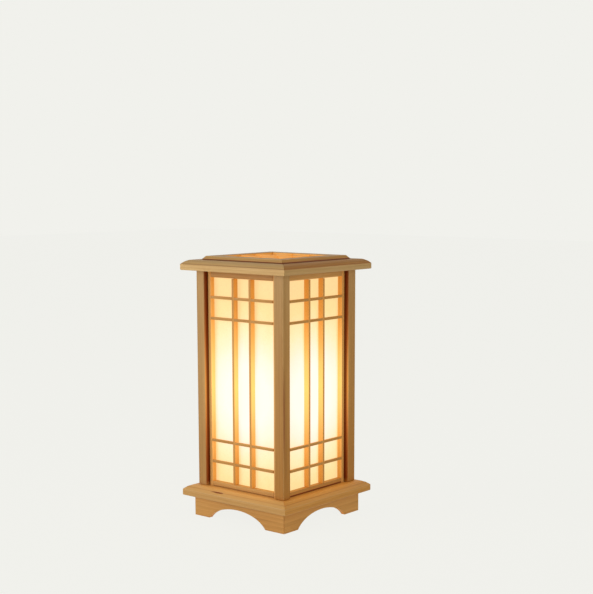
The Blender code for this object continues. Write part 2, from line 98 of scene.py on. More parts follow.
# Marks in the wood, and painted shade along its joints and the foot of the lid's slope
FLAW_START = -0.0385  # a split along the crease of the front base moulding, thickest two thirds along
FLAW_LENGTH = 0.0225
FLAW_HALF = 0.0011
FLAW_DEPTH = 0.0007
FLAW_PEAK = 2.6  # brings the split's taper to 1 where it is thickest
FLAW_FADE = 1.5  # how far from the crease the split fades out there, in half widths
MARK_REACH = 0.0015  # marks along a crease stay within this
CREASE_SHADE = 0.30  # how dark the crease of the base's slope is, and its half width
CREASE_HALF = 0.0005
STREAK_PLACE = (0.0012, 0.127)  # a dark streak on the near post: from the post's corner, and its height
STREAK_SIZE = (0.0011, 0.040)  # half its width and half its length
STREAK_SHADE = 0.70
# the dark line at the rim's foot is painted shade, where the rim meets the tier
RIM_JOINT_SHADE = 0.0010  # height of the dark line along the foot of the lid's rim
# How dark the painted shade along the foot of the bottom rails is, where they meet the base, and how high:
# front and back, then right and left
RAIL_FOOT_SHADE = ((0.7, 0.0008), (1.0, 0.0015))
SLOPE_FOOT_SHADE = 0.30  # painted shade darkens the foot of the lid's slope, just above the lip
END_GRAIN_SHADE = 0.20  # end grain soaks up more oil
BEND_WORN = 3.0  # how soon a corner counts as worn: in full once it bends by some 48 degrees
PITH_DISTANCE = (0.02, 0.05)  # how far from the pith of its tree a board was cut
PITH_TURN = 6.28  # and on which side of it, anywhere in about a full turn
TREE_LENGTH = 5.0  # how far up its tree a board was cut, at most
BOARD_TONES = (0.97, 1.03)  # how much boards differ in lightness

# How light and how amber each piece's wood is: (tone, amber) on the front and back, then right and left
# Both are painted light: the tones differ with the light that falls on each side, top and underside, and the
# amber is the lamp's warm light
WOOD = {
    "lid_lip": ((1.22, 0.0), (0.96, 0.0)),
    "lid_slope": ((1.06, 0.1), (0.90, 1.0)),
    "lid_lattice": ((1.00, 0.4), (1.00, 0.4)),
    "rim": ((1.09, 0.2), (1.04, 0.7)),
    "top_rail": ((0.98, 0.8), (1.18, 0.5)),
    "stile": ((1.35, 0.4), (1.30, 0.5)),
    "lattice": ((1.15, 0.7), (1.15, 0.7)),
    "bottom_rail": ((1.20, 0.5), (1.15, 0.7)),
    "base_band": ((1.12, 0.4), (1.24, 0.8)),
    "base_slope": ((1.23, 0.1), (1.21, 0.6)),
    "apron": ((1.21, 0.6), (1.31, 0.6)),
}
LIP_TURN = 3.0  # how soon the lid's wood takes the slope's colour as its lip turns upward
# How light the posts are, and how amber at the top and at the foot, in the order of CORNERS
POST_TONE = 0.95
# the amber is painted warm light, strongest towards the foot
POST_AMBER = ((0.00, 0.95), (0.10, 1.0), (0.20, 0.8), (0.15, 0.5))

# Light and shade painted on the wood: mostly how brightly it glows with the light of the sheets
BAR_LIT = 1.0  # sides of the bars
STILE_LIT = 0.82  # inner sides of the stiles
FRONT_LIT = 0.12  # fronts of the bars and stiles
GROOVE_LIT = 0.30  # groove beside a stile
LATH_LIT = 0.5  # tops and undersides of the laths
RAIL_LIT = {"bottom_rail": 0.35, "top_rail": 1.2}  # the edge that looks at the sheet
LID_LATTICE_LIT = 0.80  # the lid's lattice, and what its sides have more
LID_SIDE_LIT = 1.20
OPENING_LIT = 1.1  # inside of the lid's rim
SOFFIT_LIT = 0.8  # undersides of the aprons, painted with light bounced up from the floor
SLOPE_LIT = 0.28  # slope of the base, and what it has more beside the panels
PANEL_SIDE_LIT = 0.70
RECESS_LIT = 0.68  # sides of the posts beside a panel, and what they lose where its light doesn't reach
RECESS_LOSS = 0.60
RECESS_SHADE = 0.85  # how dark the wood is there, and what is added where the light doesn't reach
HIDDEN_SHADE = 0.15
RECESS_REACH = 0.0022  # how far in the light reaches
RECESS_SPREAD = 0.085  # how far above and below the bulb it fades
SPILL = 0.16  # how brightly a panel's light spills over the edge of its post, and how far
SPILL_REACH = 0.0016
DIM_REACH = 0.0020  # how far beside a bar its sheet is dimmer

# Sizes of the lampholder and the bulb
HOLDER_WALL = 0.0030
SOCKET_FLOOR = (0.0664, 0.0704)
BRIM_ROUND = 0.0010
THREAD_PITCH = 0.00362
THREAD_DEPTH = 0.0010
THREAD_LENGTH = 0.0150
CAP_FOOT = 0.0012
BULB_MIDDLE = 0.1461
BULB_RADIUS = 0.0300
BULB_WALL = 0.0010
NECK_RADIUS = 0.0105
FLARE_ANGLE = math.radians(35)
POLE_ANGLE = math.pi / 2 - 0.01  # the bulb's outline starts just short of its axis
NECK_TOP = 0.1021
NEAR_AXIS = 0.0004  # turned pieces close on a small flat of this radius

# How finely curves are drawn, and pieces cut: along, or across and along
EDGE_STEPS = 4
SEGMENTS = 96
ARCH_STEPS = 40
FOOT_STEPS = 6
APRON_STEPS = 4
BASE_STEPS = 240
LID_STEPS = 60
STILE_STEPS = 40
POST_STEPS = (12, 60)
RAIL_STEPS = (6, 40)
BAR_STEPS = (3, 40)
SHEET_STEPS = (90, 160)
LID_BAR_STEPS = (2, 20)
LID_SHEET_STEPS = (30, 60)
BRIM_STEPS = 6
THREAD_STEPS = 80
GLOBE_STEPS = 40
FLARE_STEPS = 24
SMOOTH_ANGLE = math.radians(50)

X, Y, Z = range(3)
SHARE, UNDER, OVER, MIXED = 0, 6, 7, 2  # a Mix node's sockets for colours, by number since names repeat
SIDES = ("front", "right", "back", "left")
CORNERS = ("front_right", "back_right", "back_left", "front_left")
FACING = 0.5  # a face looks along an axis where its normal has more than this along it
LIGHT_MIDDLE = (0.0, 0.0, 0.139)  # where the light seems to come from, a little under the bulb's middle
LIGHT_REACH = 0.0505  # how far from there the light is at its full strength
WARM_MIDDLE = 0.149  # height at which the wood beside the sheets is brightest
WARM_REACH = 0.120  # how far above and below that it is still lit
draws = np.random.default_rng(7)


def skin(rings):
    """Closed skin over a stack of rings: quads between neighbouring rings and a flat cap at each end."""
    count, size, _ = rings.shape
    index = np.arange(count * size).reshape(count, size)
    lower = index[:-1]
    upper = index[1:]
    quads = np.stack([lower, np.roll(lower, -1, 1), np.roll(upper, -1, 1), upper], axis=-1)
    caps = [index[0][::-1], index[-1]]
    return {"points": rings.reshape(-1, 3), "quads": quads.reshape(-1, 4), "caps": caps}


def eased_outline(radius, steps):
    """Outline of a rectangle with round corners, anticlockwise.

    A point is share times the half sizes plus an offset. Each corner is a quarter circle, and each straight
    side is cut evenly into steps. Returns the shares, the offsets and the outward normals.
    """
    angles = np.linspace(0.0, math.pi / 2, EDGE_STEPS + 1) + np.arange(4)[:, None] * math.pi / 2
    normals = np.stack([np.cos(angles), np.sin(angles)], axis=-1)
    corner = np.array([(1, 1), (-1, 1), (-1, -1), (1, -1)], float)[:, None, :]
    shares = np.broadcast_to(corner, normals.shape)
    offsets = radius * (normals - corner)
    along = np.arange(1, steps)[None, :, None] / steps

    def with_sides(values):
        following = np.roll(values, -1, axis=0)
        between = values[:, -1:] + (following[:, :1] - values[:, -1:]) * along
        return np.concatenate([values, between], axis=1).reshape(-1, 2)

    return with_sides(shares), with_sides(offsets), with_sides(normals)


def end_stations(start, end, ease, steps):
    """Places along a piece and how far its outline is drawn in there: a quarter circle at both ends."""
    turn = np.linspace(0.0, math.pi / 2, EDGE_STEPS + 1)
    run = ease * (1 - np.cos(turn))
    inset = END_DRAW_IN * ease * (1 - np.sin(turn))
    middle = np.linspace(start + ease, end - ease, steps + 1)[1:-1]
    places = np.concatenate([start + run, middle, (end - run)[::-1]])
    return places, np.concatenate([inset, np.zeros(len(middle)), inset[::-1]])


def board_values(shape, along, wear):
    """Gives a shape its place in the tree it was cut from: along the grain, and across from the pith."""
    points = shape["points"]
    across = [axis for axis in range(3) if axis != along]
    pith = draws.uniform(*PITH_DISTANCE) * np.array([math.cos(draws.uniform(0, PITH_TURN)), 1.0])
    start = draws.uniform(0.0, TREE_LENGTH)
    shape["grain"] = np.column_stack([points[:, along] + start, points[:, across] + pith])
    shape["tone"] = np.full(len(points), draws.uniform(*BOARD_TONES))
    shape["wear"] = wear
    for key in ("amber", "shade", "glow"):
        shape[key] = np.zeros(len(points))


def colour_wood(shape, kind, quarters, share=1.0):
    """Gives a shape the tone and amber of its kind of piece, over a share of it from 0 to 1."""
    tone, amber = WOOD[kind][quarters % 2]
    shape["tone"] = shape["tone"] * (1 + (tone - 1) * share)
    shape["amber"] = shape["amber"] + amber * share


def strip(low, high, along, ease, side_steps=1, long_steps=1):
    """A straight strip between two corners: a round-cornered rectangle carried along one axis, ends eased.

    Its normals across the grain are kept as "out", for what depends on which way a face looks.
    """
    low = np.array(low)
    high = np.array(high)
    first, second = [(Y, Z), (Z, X), (X, Y)][along]
    shares, offsets, normals = eased_outline(ease, side_steps)
    places, insets = end_stations(low[along], high[along], ease, long_steps)
    half = (high - low)[[first, second]] / 2
    middle = (high + low)[[first, second]] / 2
    inset = insets[:, None, None]
    flat = middle + shares * (half - inset) + offsets * (ease - inset) / ease
    rings = np.empty((len(places), len(shares), 3))
    rings[..., first] = flat[..., 0]
    rings[..., second] = flat[..., 1]
    rings[..., along] = places[:, None]
    shape = skin(rings)
    out = np.tile(normals, (len(places), 1))
    board_values(shape, along, np.abs(2 * out[:, 0] * out[:, 1]))
    shape["out"] = np.zeros_like(shape["points"])
    shape["out"][:, first] = out[:, 0]
    shape["out"][:, second] = out[:, 1]
    return shape


def rounded_section(corners):
    """A closed section from corners (half width, height, rounding); each corner becomes a parabolic arc.

    The arc runs from where the rounding starts on one side, with the corner as its control point, to where
    it ends on the other. Returns the points, their outward normals and how much each is a worn edge.
    """
    corners = np.array(corners)
    place = corners[:, :2]
    reach = corners[:, 2:]
    before = np.roll(place, 1, axis=0) - place
    after = np.roll(place, -1, axis=0) - place
    start = place + before * reach / np.linalg.norm(before, axis=1, keepdims=True)
    end = place + after * reach / np.linalg.norm(after, axis=1, keepdims=True)
    share = np.linspace(0.0, 1.0, 2 * EDGE_STEPS + 1)[None, :, None]
    to_corner = start[:, None] + share * (place - start)[:, None]
    from_corner = place[:, None] + share * (end - place)[:, None]
    points = (to_corner + share * (from_corner - to_corner)).reshape(-1, 2)
    run = np.roll(points, -1, axis=0) - np.roll(points, 1, axis=0)
    normals = np.column_stack([run[:, 1], -run[:, 0]]) / np.linalg.norm(run, axis=1, keepdims=True)
    lengths = np.linalg.norm(before, axis=1) * np.linalg.norm(after, axis=1)
    bend = np.clip(BEND_WORN + BEND_WORN * np.sum(before * after, axis=1) / lengths, 0, 1)
    sharp = bend[:, None, None] * (reach[:, None] <= LIP_ROUND)
    wear = (4 * share * (1 - share) * sharp).reshape(-1)
    return points, normals, wear


def toward(start, end, distance):
    """The point at a distance from start on the way to end."""
    start = np.array(start)
    way = np.array(end) - start
    return tuple(start + way * distance / np.linalg.norm(way))


def slope_crown(lip, top):
    """The middle of a moulding's slope, where it bulges out."""
    return (lip[0] + top[0]) / 2 + SLOPE_BULGE, (lip[1] + top[1]) / 2 + SLOPE_BULGE


def moulding(corners, long_steps):
    """A mitred front moulding: its section carried along X, each point reaching as far as its half width."""
    section, normals, wear = rounded_section(corners)
    section = section[::-1]
    normals = normals[::-1]
    shares, insets = end_stations(-1.0, 1.0, MITRE_EASE / section[:, 0].max(), long_steps)
    insets = insets * section[:, 0].max()
    flat = section - insets[:, None, None] * normals
    rings = np.empty((len(shares), len(section), 3))
    rings[..., 0] = shares[:, None] * (section[:, 0] - MITRE_GAP)
    rings[..., 1] = -flat[..., 0]
    rings[..., 2] = flat[..., 1]
    shape = skin(rings)
    out = np.tile(normals, (len(shares), 1))
    board_values(shape, X, np.tile(wear[::-1], len(shares)))
    shape["out"] = np.column_stack([np.zeros(len(out)), -out[:, 0], out[:, 1]])
    return shape


def stile(low, high, inward, long_steps):
    """A panel stile with a groove beside its post: a rectangle with a corner cut out, carried along Z.

    A right-hand stile looks inward along -X, and its section is the mirror image.
    """
    outer = low.x if inward > 0 else high.x
    inner = high.x if inward > 0 else low.x
    step = outer + inward * GROOVE_WIDTH
    floor = low.y + GROOVE_DEPTH
    corners = [(outer, floor, HAIR_EDGE), (step, floor, HAIR_EDGE), (step, low.y, STRIP_EDGE),
               (inner, low.y, STRIP_EDGE), (inner, high.y, STRIP_EDGE), (outer, high.y, HAIR_EDGE)]
    section, normals, wear = rounded_section(corners[::inward])
    places, insets = end_stations(low.z, high.z, HAIR_EDGE, long_steps)
    rings = np.empty((len(places), len(section), 3))
    rings[..., :2] = section - insets[:, None, None] * normals
    rings[..., 2] = places[:, None]
    shape = skin(rings)
    in_groove = np.tile(section[:, 1] > floor - STRIP_EDGE, len(places))
    board_values(shape, Z, np.tile(wear, len(places)) * ~in_groove)
    out = np.tile(normals, (len(places), 1))
    shape["out"] = np.column_stack([out, np.zeros(len(out))])
    shape["groove"] = in_groove & (inward * (shape["points"][:, X] - step) < HAIR_EDGE)
    return shape


def apron(half, inner, height, shift):
    """A mitred front apron: an eased rectangle whose underside rises in an elliptical arch between its feet.

    Between the feet a ring stays square to X. In a foot the rings swing round to the mitre at the corner.
    The arch's middle is shifted along X.
    """
    arch_half = half - FOOT_LENGTH
    sweep = np.linspace(-ARCH_SWING, ARCH_SWING, ARCH_STEPS + 1)
    foot, insets = end_stations(0.0, 1.0, MITRE_EASE / FOOT_LENGTH, FOOT_STEPS)
    foot = foot[: len(foot) - EDGE_STEPS - 1]
    insets = insets[: len(foot)] * FOOT_LENGTH
    arch_x = arch_half * np.sin(sweep) / math.sin(ARCH_SWING)
    arch_z = ARCH_RISE * (1 - (1 - np.cos(sweep)) / (1 - math.cos(ARCH_SWING)))
    side = np.concatenate([-np.ones(len(foot)), np.zeros(len(sweep)), np.ones(len(foot))])
    far = np.concatenate([1 - foot, np.zeros(len(sweep)), (1 - foot)[::-1]])
    near_x = np.concatenate([np.full(len(foot), -arch_half), arch_x, np.full(len(foot), arch_half)]) + shift
    bottom = np.concatenate([np.zeros(len(foot)), arch_z, np.zeros(len(foot))])
    inset = np.concatenate([insets, np.zeros(len(sweep)), insets[::-1]])[:, None, None]
    shares, offsets, normals = eased_outline(STRIP_EDGE, APRON_STEPS)
    middle = np.column_stack([np.full(len(bottom), -(half + inner) / 2), (bottom + height) / 2])
    halves = np.column_stack([np.full(len(bottom), (half - inner) / 2), (height - bottom) / 2])
    flat = middle[:, None] + shares * (halves[:, None] - inset) + offsets * (STRIP_EDGE - inset) / STRIP_EDGE
    rings = np.empty((len(bottom), len(shares), 3))
    mitre_x = side[:, None] * (-flat[..., 0] - MITRE_GAP)
    rings[..., 0] = near_x[:, None] + far[:, None] * (mitre_x - near_x[:, None])
    rings[..., 1:] = flat
    shape = skin(rings)
    out = np.tile(normals, (len(bottom), 1))
    board_values(shape, X, np.abs(2 * out[:, 0] * out[:, 1]))
    shape["out"] = np.column_stack([np.zeros(len(out)), out])
    return shape


def facing(shape, axis, way):
    """How squarely each point of a shape looks along an axis, up it (way 1) or down it (way -1), 0 to 1."""
    return np.clip(way * shape["out"][:, axis], 0, 1)


def turned(radii, heights):
    """A piece turned about the lamp's axis: rows of radius and height carried round a circle.

    A row's radius may differ round the circle, as on a screw thread.
    """
    angles = np.linspace(0.0, 2 * math.pi, SEGMENTS, endpoint=False)
    radii = np.broadcast_to(radii, (len(heights), SEGMENTS))
    rings = np.empty((len(heights), SEGMENTS, 3))
    rings[..., 0] = radii * np.cos(angles)
    rings[..., 1] = radii * np.sin(angles)
    rings[..., 2] = np.reshape(heights, (-1, 1))
    return skin(rings)


def joined(shapes):
    """Several shapes as one."""
    sizes = [len(shape["points"]) for shape in shapes]
    firsts = np.concatenate([[0], np.cumsum(sizes)[:-1]])
    keys = [key for key in shapes[0] if key not in ("quads", "caps")]
    whole = {key: np.concatenate([shape[key] for shape in shapes]) for key in keys}
    whole["quads"] = np.concatenate([shape["quads"] + first for shape, first in zip(shapes, firsts)])
    whole["caps"] = [cap + first for shape, first in zip(shapes, firsts) for cap in shape["caps"]]
    return whole


def quarter_turned(shape, quarters):
    """The same shape turned about the lamp's axis by a number of quarter turns."""
    cosine, sine = [(1, 0), (0, 1), (-1, 0), (0, -1)][quarters]
    turn = np.array([(cosine, -sine, 0), (sine, cosine, 0), (0, 0, 1)])
    return {**shape, "points": shape["points"] @ turn.T}


def add_piece(name, shape, finish, body, slot, *nodes):
    """Puts a shape into a mesh, with its values for the material, in place of its CAD nodes."""
    mesh = bpy.data.meshes.new(name)
    faces = shape["quads"].tolist() + [cap.tolist() for cap in shape["caps"]]
    mesh.from_pydata(shape["points"].tolist(), [], faces)
    for key in ("tone", "amber", "wear", "shade", "glow"):
        if key in shape:
            values = mesh.attributes.new(key, "FLOAT", "POINT")
            values.data.foreach_set("value", shape[key].astype(np.float32))
    if "grain" in shape:
        values = mesh.attributes.new("grain", "FLOAT_VECTOR", "POINT")
        values.data.foreach_set("vector", shape["grain"].astype(np.float32).ravel())
    mesh.shade_smooth()
    mesh.set_sharp_from_angle(angle=SMOOTH_ANGLE)
    mesh.materials.append(finish)
    piece = bpy.data.objects.new(name, mesh)
    bpy.context.scene.collection.objects.link(piece)
    level = piece.modifiers.new("flat_faces", "WEIGHTED_NORMAL")
    level.keep_sharp = True
    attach(piece, body)
    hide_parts(*nodes)


def add_wood(node, shape, quarters, wood, body):
    """Puts a wooden shape in place of its CAD node, turned to its side."""
    add_piece(node + "_wood", quarter_turned(shape, quarters), wood, body, "oiled_pine", node)


def linear(hex_colour):
    """The linear colour of an sRGB hex value, with full alpha."""
    values = np.array([int(hex_colour[start:start + 2], 16) / 255 for start in (0, 2, 4)])
    rgb = np.where(values <= 0.04045, values / 12.92, ((values + 0.055) / 1.055) ** 2.4)
    return (*rgb.tolist(), 1.0)


def fill(node, inputs):
    """Fills a node's sockets with values or links."""
    for key, value in inputs.items():
        if isinstance(value, bpy.types.NodeSocket):
            node.id_data.links.new(value, node.inputs[key])
        else:
            node.inputs[key].default_value = value


def add(tree, kind, inputs=(), stops=(), **settings):
    """Adds a shader node of a kind, sets its properties and fills its sockets.

    The stops of a colour ramp are pairs of a place and a hex colour. A new ramp has two of them already.
    """
    node = tree.nodes.new("ShaderNode" + kind)
    for name, value in settings.items():
        setattr(node, name, value)
    fill(node, dict(inputs))
    for _ in stops[2:]:
        node.color_ramp.elements.new(1.0)
    for index, (place, colour) in enumerate(stops):
        node.color_ramp.elements[index].position = place
        node.color_ramp.elements[index].color = linear(colour)
    return node


def new_finish(name):
    """A new material, its node tree and the shader in it."""
    material = bpy.data.materials.new(name)
    material.use_nodes = True
    return material, material.node_tree, material.node_tree.nodes["Principled BSDF"]


def oiled_pine():
    """Oiled pine, planed: straight growth rings and fine fibres along each piece, satin, worn at its edges.

    Warm light from the sheets shows on the faces that look at them. The streaks of fibres are drawn about
    four times as wide as real ones, to show at all.
    """
    ring_width = 0.0032
    ring_stretch = 0.012
    fibre_length = 0.040
    fibre_width = 0.0011
    cloud_length = 0.140
    cloud_width = 0.035
    ring_share = 0.22
    fibre_share = 0.55
    cloud_share = 0.40
    most_worn = 0.20
    material, tree, shader = new_finish("pine_planed_and_oiled")
    grain = add(tree, "Attribute", attribute_name="grain").outputs["Vector"]
    slow = add(tree, "Mapping", {"Vector": grain, "Scale": (ring_stretch, 1.0, 1.0)})
    rings = add(tree, "TexWave", {
        "Vector": slow.outputs[0], "Scale": math.pi / (10 * ring_width), "Distortion": 1.6,
        "Detail": 2.0, "Detail Scale": 0.35}, wave_type="RINGS", rings_direction="X", wave_profile="SAW")
    fine = add(tree, "Mapping", {
        "Vector": grain, "Scale": (1 / fibre_length, 1 / fibre_width, 1 / fibre_width)})
    fibres = add(tree, "TexNoise", {"Vector": fine.outputs[0], "Scale": 1.0, "Detail": 3.0})
    broad = add(tree, "Mapping", {
        "Vector": grain, "Scale": (1 / cloud_length, 1 / cloud_width, 1 / cloud_width)})
    clouds = add(tree, "TexNoise", {"Vector": broad.outputs[0], "Scale": 1.0, "Detail": 1.0})
    ringed = add(tree, "Math", {0: rings.outputs["Fac"], 1: ring_share}, operation="MULTIPLY")
    fibred = add(tree, "Math", {
        0: fibres.outputs["Fac"], 1: fibre_share, 2: ringed.outputs[0]}, operation="MULTIPLY_ADD")
    figure = add(tree, "Math", {
        0: clouds.outputs["Fac"], 1: cloud_share, 2: fibred.outputs[0]}, operation="MULTIPLY_ADD")
    colour = add(tree, "ValToRGB", {"Fac": figure.outputs[0]},
                 [(0.25, "CDA86E"), (0.62, "BF975B"), (0.95, "A57B42")])
    tone = add(tree, "Attribute", attribute_name="tone").outputs["Fac"]
    toned = add(tree, "HueSaturation", {"Value": tone, "Color": colour.outputs["Color"]})
    # amber paints the lamp's warm light into the colour
    amber = add(tree, "Attribute", attribute_name="amber").outputs["Fac"]
    painted_warm = add(tree, "Mix", {SHARE: amber, UNDER: toned.outputs["Color"], OVER: linear("F1CC76")},
                data_type="RGBA", blend_type="MULTIPLY")
    wear = add(tree, "Attribute", attribute_name="wear").outputs["Fac"]
    worn_share = add(tree, "Math", {0: wear, 1: most_worn}, operation="MULTIPLY")
    worn = add(tree, "Mix", {
        SHARE: worn_share.outputs[0], UNDER: painted_warm.outputs[MIXED], OVER: linear("DDBC8A")}, data_type="RGBA")
    # shade paints shade into recesses, grooves and joints, and also darkens the split, the streak, the end
    # grain and the base's crease
    shade = add(tree, "Attribute", attribute_name="shade").outputs["Fac"]
    shaded = add(tree, "Mix", {
        SHARE: shade, UNDER: worn.outputs[MIXED], OVER: linear("803404")}, data_type="RGBA")
    gloss = add(tree, "MapRange", {"Value": fibres.outputs["Fac"], "To Min": 0.42, "To Max": 0.62})
    relief = add(tree, "Bump", {"Height": fibred.outputs[0], "Strength": 0.25, "Distance": 0.0002})
    # painted light of the sheets, brightest at the bulb's height, and redder where the wood is painted dark
    place = add(tree, "TexCoord").outputs["Object"]
    height = add(tree, "SeparateXYZ", {0: place}).outputs["Z"]
    above = add(tree, "Math", {0: height, 1: WARM_MIDDLE}, operation="SUBTRACT")
    away = add(tree, "Math", {0: above.outputs[0]}, operation="ABSOLUTE")
    lit = add(tree, "MapRange", {
        "Value": away.outputs[0], "From Max": WARM_REACH, "To Min": 1.0, "To Max": 0.0})
    warm = add(tree, "ValToRGB", {"Fac": lit.outputs[0]},
               [(0.03, "8A561A"), (0.30, "A0682A"), (0.57, "CB9148"), (0.79, "E1B463"), (1.00, "EDC267")])
    deep = add(tree, "Mix", {SHARE: shade, UNDER: warm.outputs["Color"], OVER: linear("FFC9A0")},
               data_type="RGBA", blend_type="MULTIPLY")
    glow = add(tree, "Attribute", attribute_name="glow").outputs["Fac"]
    fill(shader, {
        "Base Color": shaded.outputs[MIXED], "Roughness": gloss.outputs[0], "Normal": relief.outputs[0],
        "Emission Color": deep.outputs[MIXED], "Emission Strength": glow,
        "IOR": 1.47, "Specular IOR Level": 0.3})
    return material


def lit_parchment():
    """Parchment paper, calendered: smooth and matt, with soft fibres that show in the light from behind.

    The light is white by the bulb and deep cream far from it, and a little dimmer beside the bars. How much
    of it arrives is its reach over the distance from its middle.
    """
    fibre_size = 0.0025
    mottle_size = 0.012
    fibre_share = 0.05
    mottle_share = 0.05
    dimmer = -0.12
    material, tree, shader = new_finish("parchment_paper_calendered")
    place = add(tree, "TexCoord").outputs["Object"]
    away = add(tree, "VectorMath", {0: place, 1: LIGHT_MIDDLE}, operation="DISTANCE")
    lit = add(tree, "Math", {0: LIGHT_REACH, 1: away.outputs["Value"]}, operation="DIVIDE")
    fibres = add(tree, "TexNoise", {
        "Vector": place, "Scale": 1 / fibre_size, "Detail": 4.0, "Distortion": 1.5})
    mottle = add(tree, "TexNoise", {"Vector": place, "Scale": 1 / mottle_size, "Detail": 2.0})
    uneven = add(tree, "Math", {
        0: fibres.outputs["Fac"], 1: fibre_share, 2: lit.outputs[0]}, operation="MULTIPLY_ADD")
    cloudy = add(tree, "Math", {
        0: mottle.outputs["Fac"], 1: mottle_share, 2: uneven.outputs[0]}, operation="MULTIPLY_ADD")
    shade = add(tree, "Attribute", attribute_name="shade").outputs["Fac"]
    dimmed = add(tree, "Math", {
        0: shade, 1: dimmer, 2: cloudy.outputs[0]}, operation="MULTIPLY_ADD")
    light = add(tree, "ValToRGB", {"Fac": dimmed.outputs[0]},
                [(0.43, "E7C68A"), (0.51, "EACE8E"), (0.62, "F3DEAF"), (0.77, "F9E7D6"), (0.90, "FFEFE7")])
    cream = add(tree, "ValToRGB", {"Fac": fibres.outputs["Fac"]}, [(0.3, "8F7B58"), (0.7, "9C8864")])
    relief = add(tree, "Bump", {"Height": fibres.outputs["Fac"], "Strength": 0.2, "Distance": 0.0002})
    fill(shader, {
        "Base Color": cream.outputs["Color"], "Roughness": 0.8, "Normal": relief.outputs[0],
        "Emission Color": light.outputs["Color"], "Emission Strength": 1.0})
    return material


def sanded_plywood():
    """Birch plywood, sanded: a pale matt face with long soft grain, and dark glue lines along its edges."""
    grain_length = 0.060
    grain_width = 0.0030
    ply = 0.00125
    material, tree, shader = new_finish("birch_plywood_sanded")
    place = add(tree, "TexCoord").outputs["Object"]
    drawn_out = add(tree, "Mapping", {
        "Vector": place, "Scale": (1 / grain_length, 1 / grain_width, 1 / grain_width)})
    grain = add(tree, "TexNoise", {
        "Vector": drawn_out.outputs[0], "Scale": 1.0, "Detail": 4.0, "Distortion": 0.4})
    colour = add(tree, "ValToRGB", {"Fac": grain.outputs["Fac"]},
                 [(0.30, "B8935F"), (0.55, "C7A876"), (0.75, "D2B88B")])
    plies = add(tree, "TexWave", {
        "Vector": place, "Scale": math.pi / (10 * ply)}, bands_direction="Z")
    glue = add(tree, "MapRange", {"Value": plies.outputs["Fac"], "From Min": 0.80, "To Max": 0.6})
    normal = add(tree, "NewGeometry").outputs["Normal"]
    up = add(tree, "SeparateXYZ", {0: normal}).outputs["Z"]
    flat = add(tree, "Math", {0: up}, operation="ABSOLUTE")
    edge = add(tree, "Math", {0: 1.0, 1: flat.outputs[0]}, operation="SUBTRACT")
    glue_share = add(tree, "Math", {0: glue.outputs[0], 1: edge.outputs[0]}, operation="MULTIPLY")
    glued = glue_share.outputs[0]
    layered = add(tree, "Mix", {
        SHARE: glued, UNDER: colour.outputs["Color"], OVER: linear("6E4A26")}, data_type="RGBA")
    gloss = add(tree, "MapRange", {"Value": grain.outputs["Fac"], "To Min": 0.60, "To Max": 0.74})
    relief = add(tree, "Bump", {"Height": grain.outputs["Fac"], "Strength": 0.2, "Distance": 0.0001})
    fill(shader, {
        "Base Color": layered.outputs[MIXED], "Roughness": gloss.outputs[0], "Normal": relief.outputs[0],
        "IOR": 1.47})
    return material


def fine_grained(name, low_colour, high_colour, grit, roughness, constants, drawn=1.0):
    """A moulded, pressed or cast surface: two close colours and a gloss that vary with its grit, in metres.

    Drawn marks run round the lamp's axis: the pattern is that many times longer across than up. The
    constants are those of the shader's sockets.
    """
    gloss_change = 0.08
    material, tree, shader = new_finish(name)
    place = add(tree, "TexCoord").outputs["Object"]
    marks = add(tree, "Mapping", {
        "Vector": place, "Scale": (1 / (drawn * grit), 1 / (drawn * grit), 1 / grit)})
    specks = add(tree, "TexNoise", {"Vector": marks.outputs[0], "Scale": 1.0, "Detail": 3.0})
    colour = add(tree, "ValToRGB", {"Fac": specks.outputs["Fac"]}, [(0.3, low_colour), (0.7, high_colour)])
    gloss = add(tree, "MapRange", {
        "Value": specks.outputs["Fac"],
        "To Min": roughness - gloss_change, "To Max": roughness + gloss_change})
    relief = add(tree, "Bump", {"Height": specks.outputs["Fac"], "Strength": 0.1, "Distance": 0.0001})
    fill(shader, {
        "Base Color": colour.outputs["Color"], "Roughness": gloss.outputs[0], "Normal": relief.outputs[0],
        **constants})
    return material


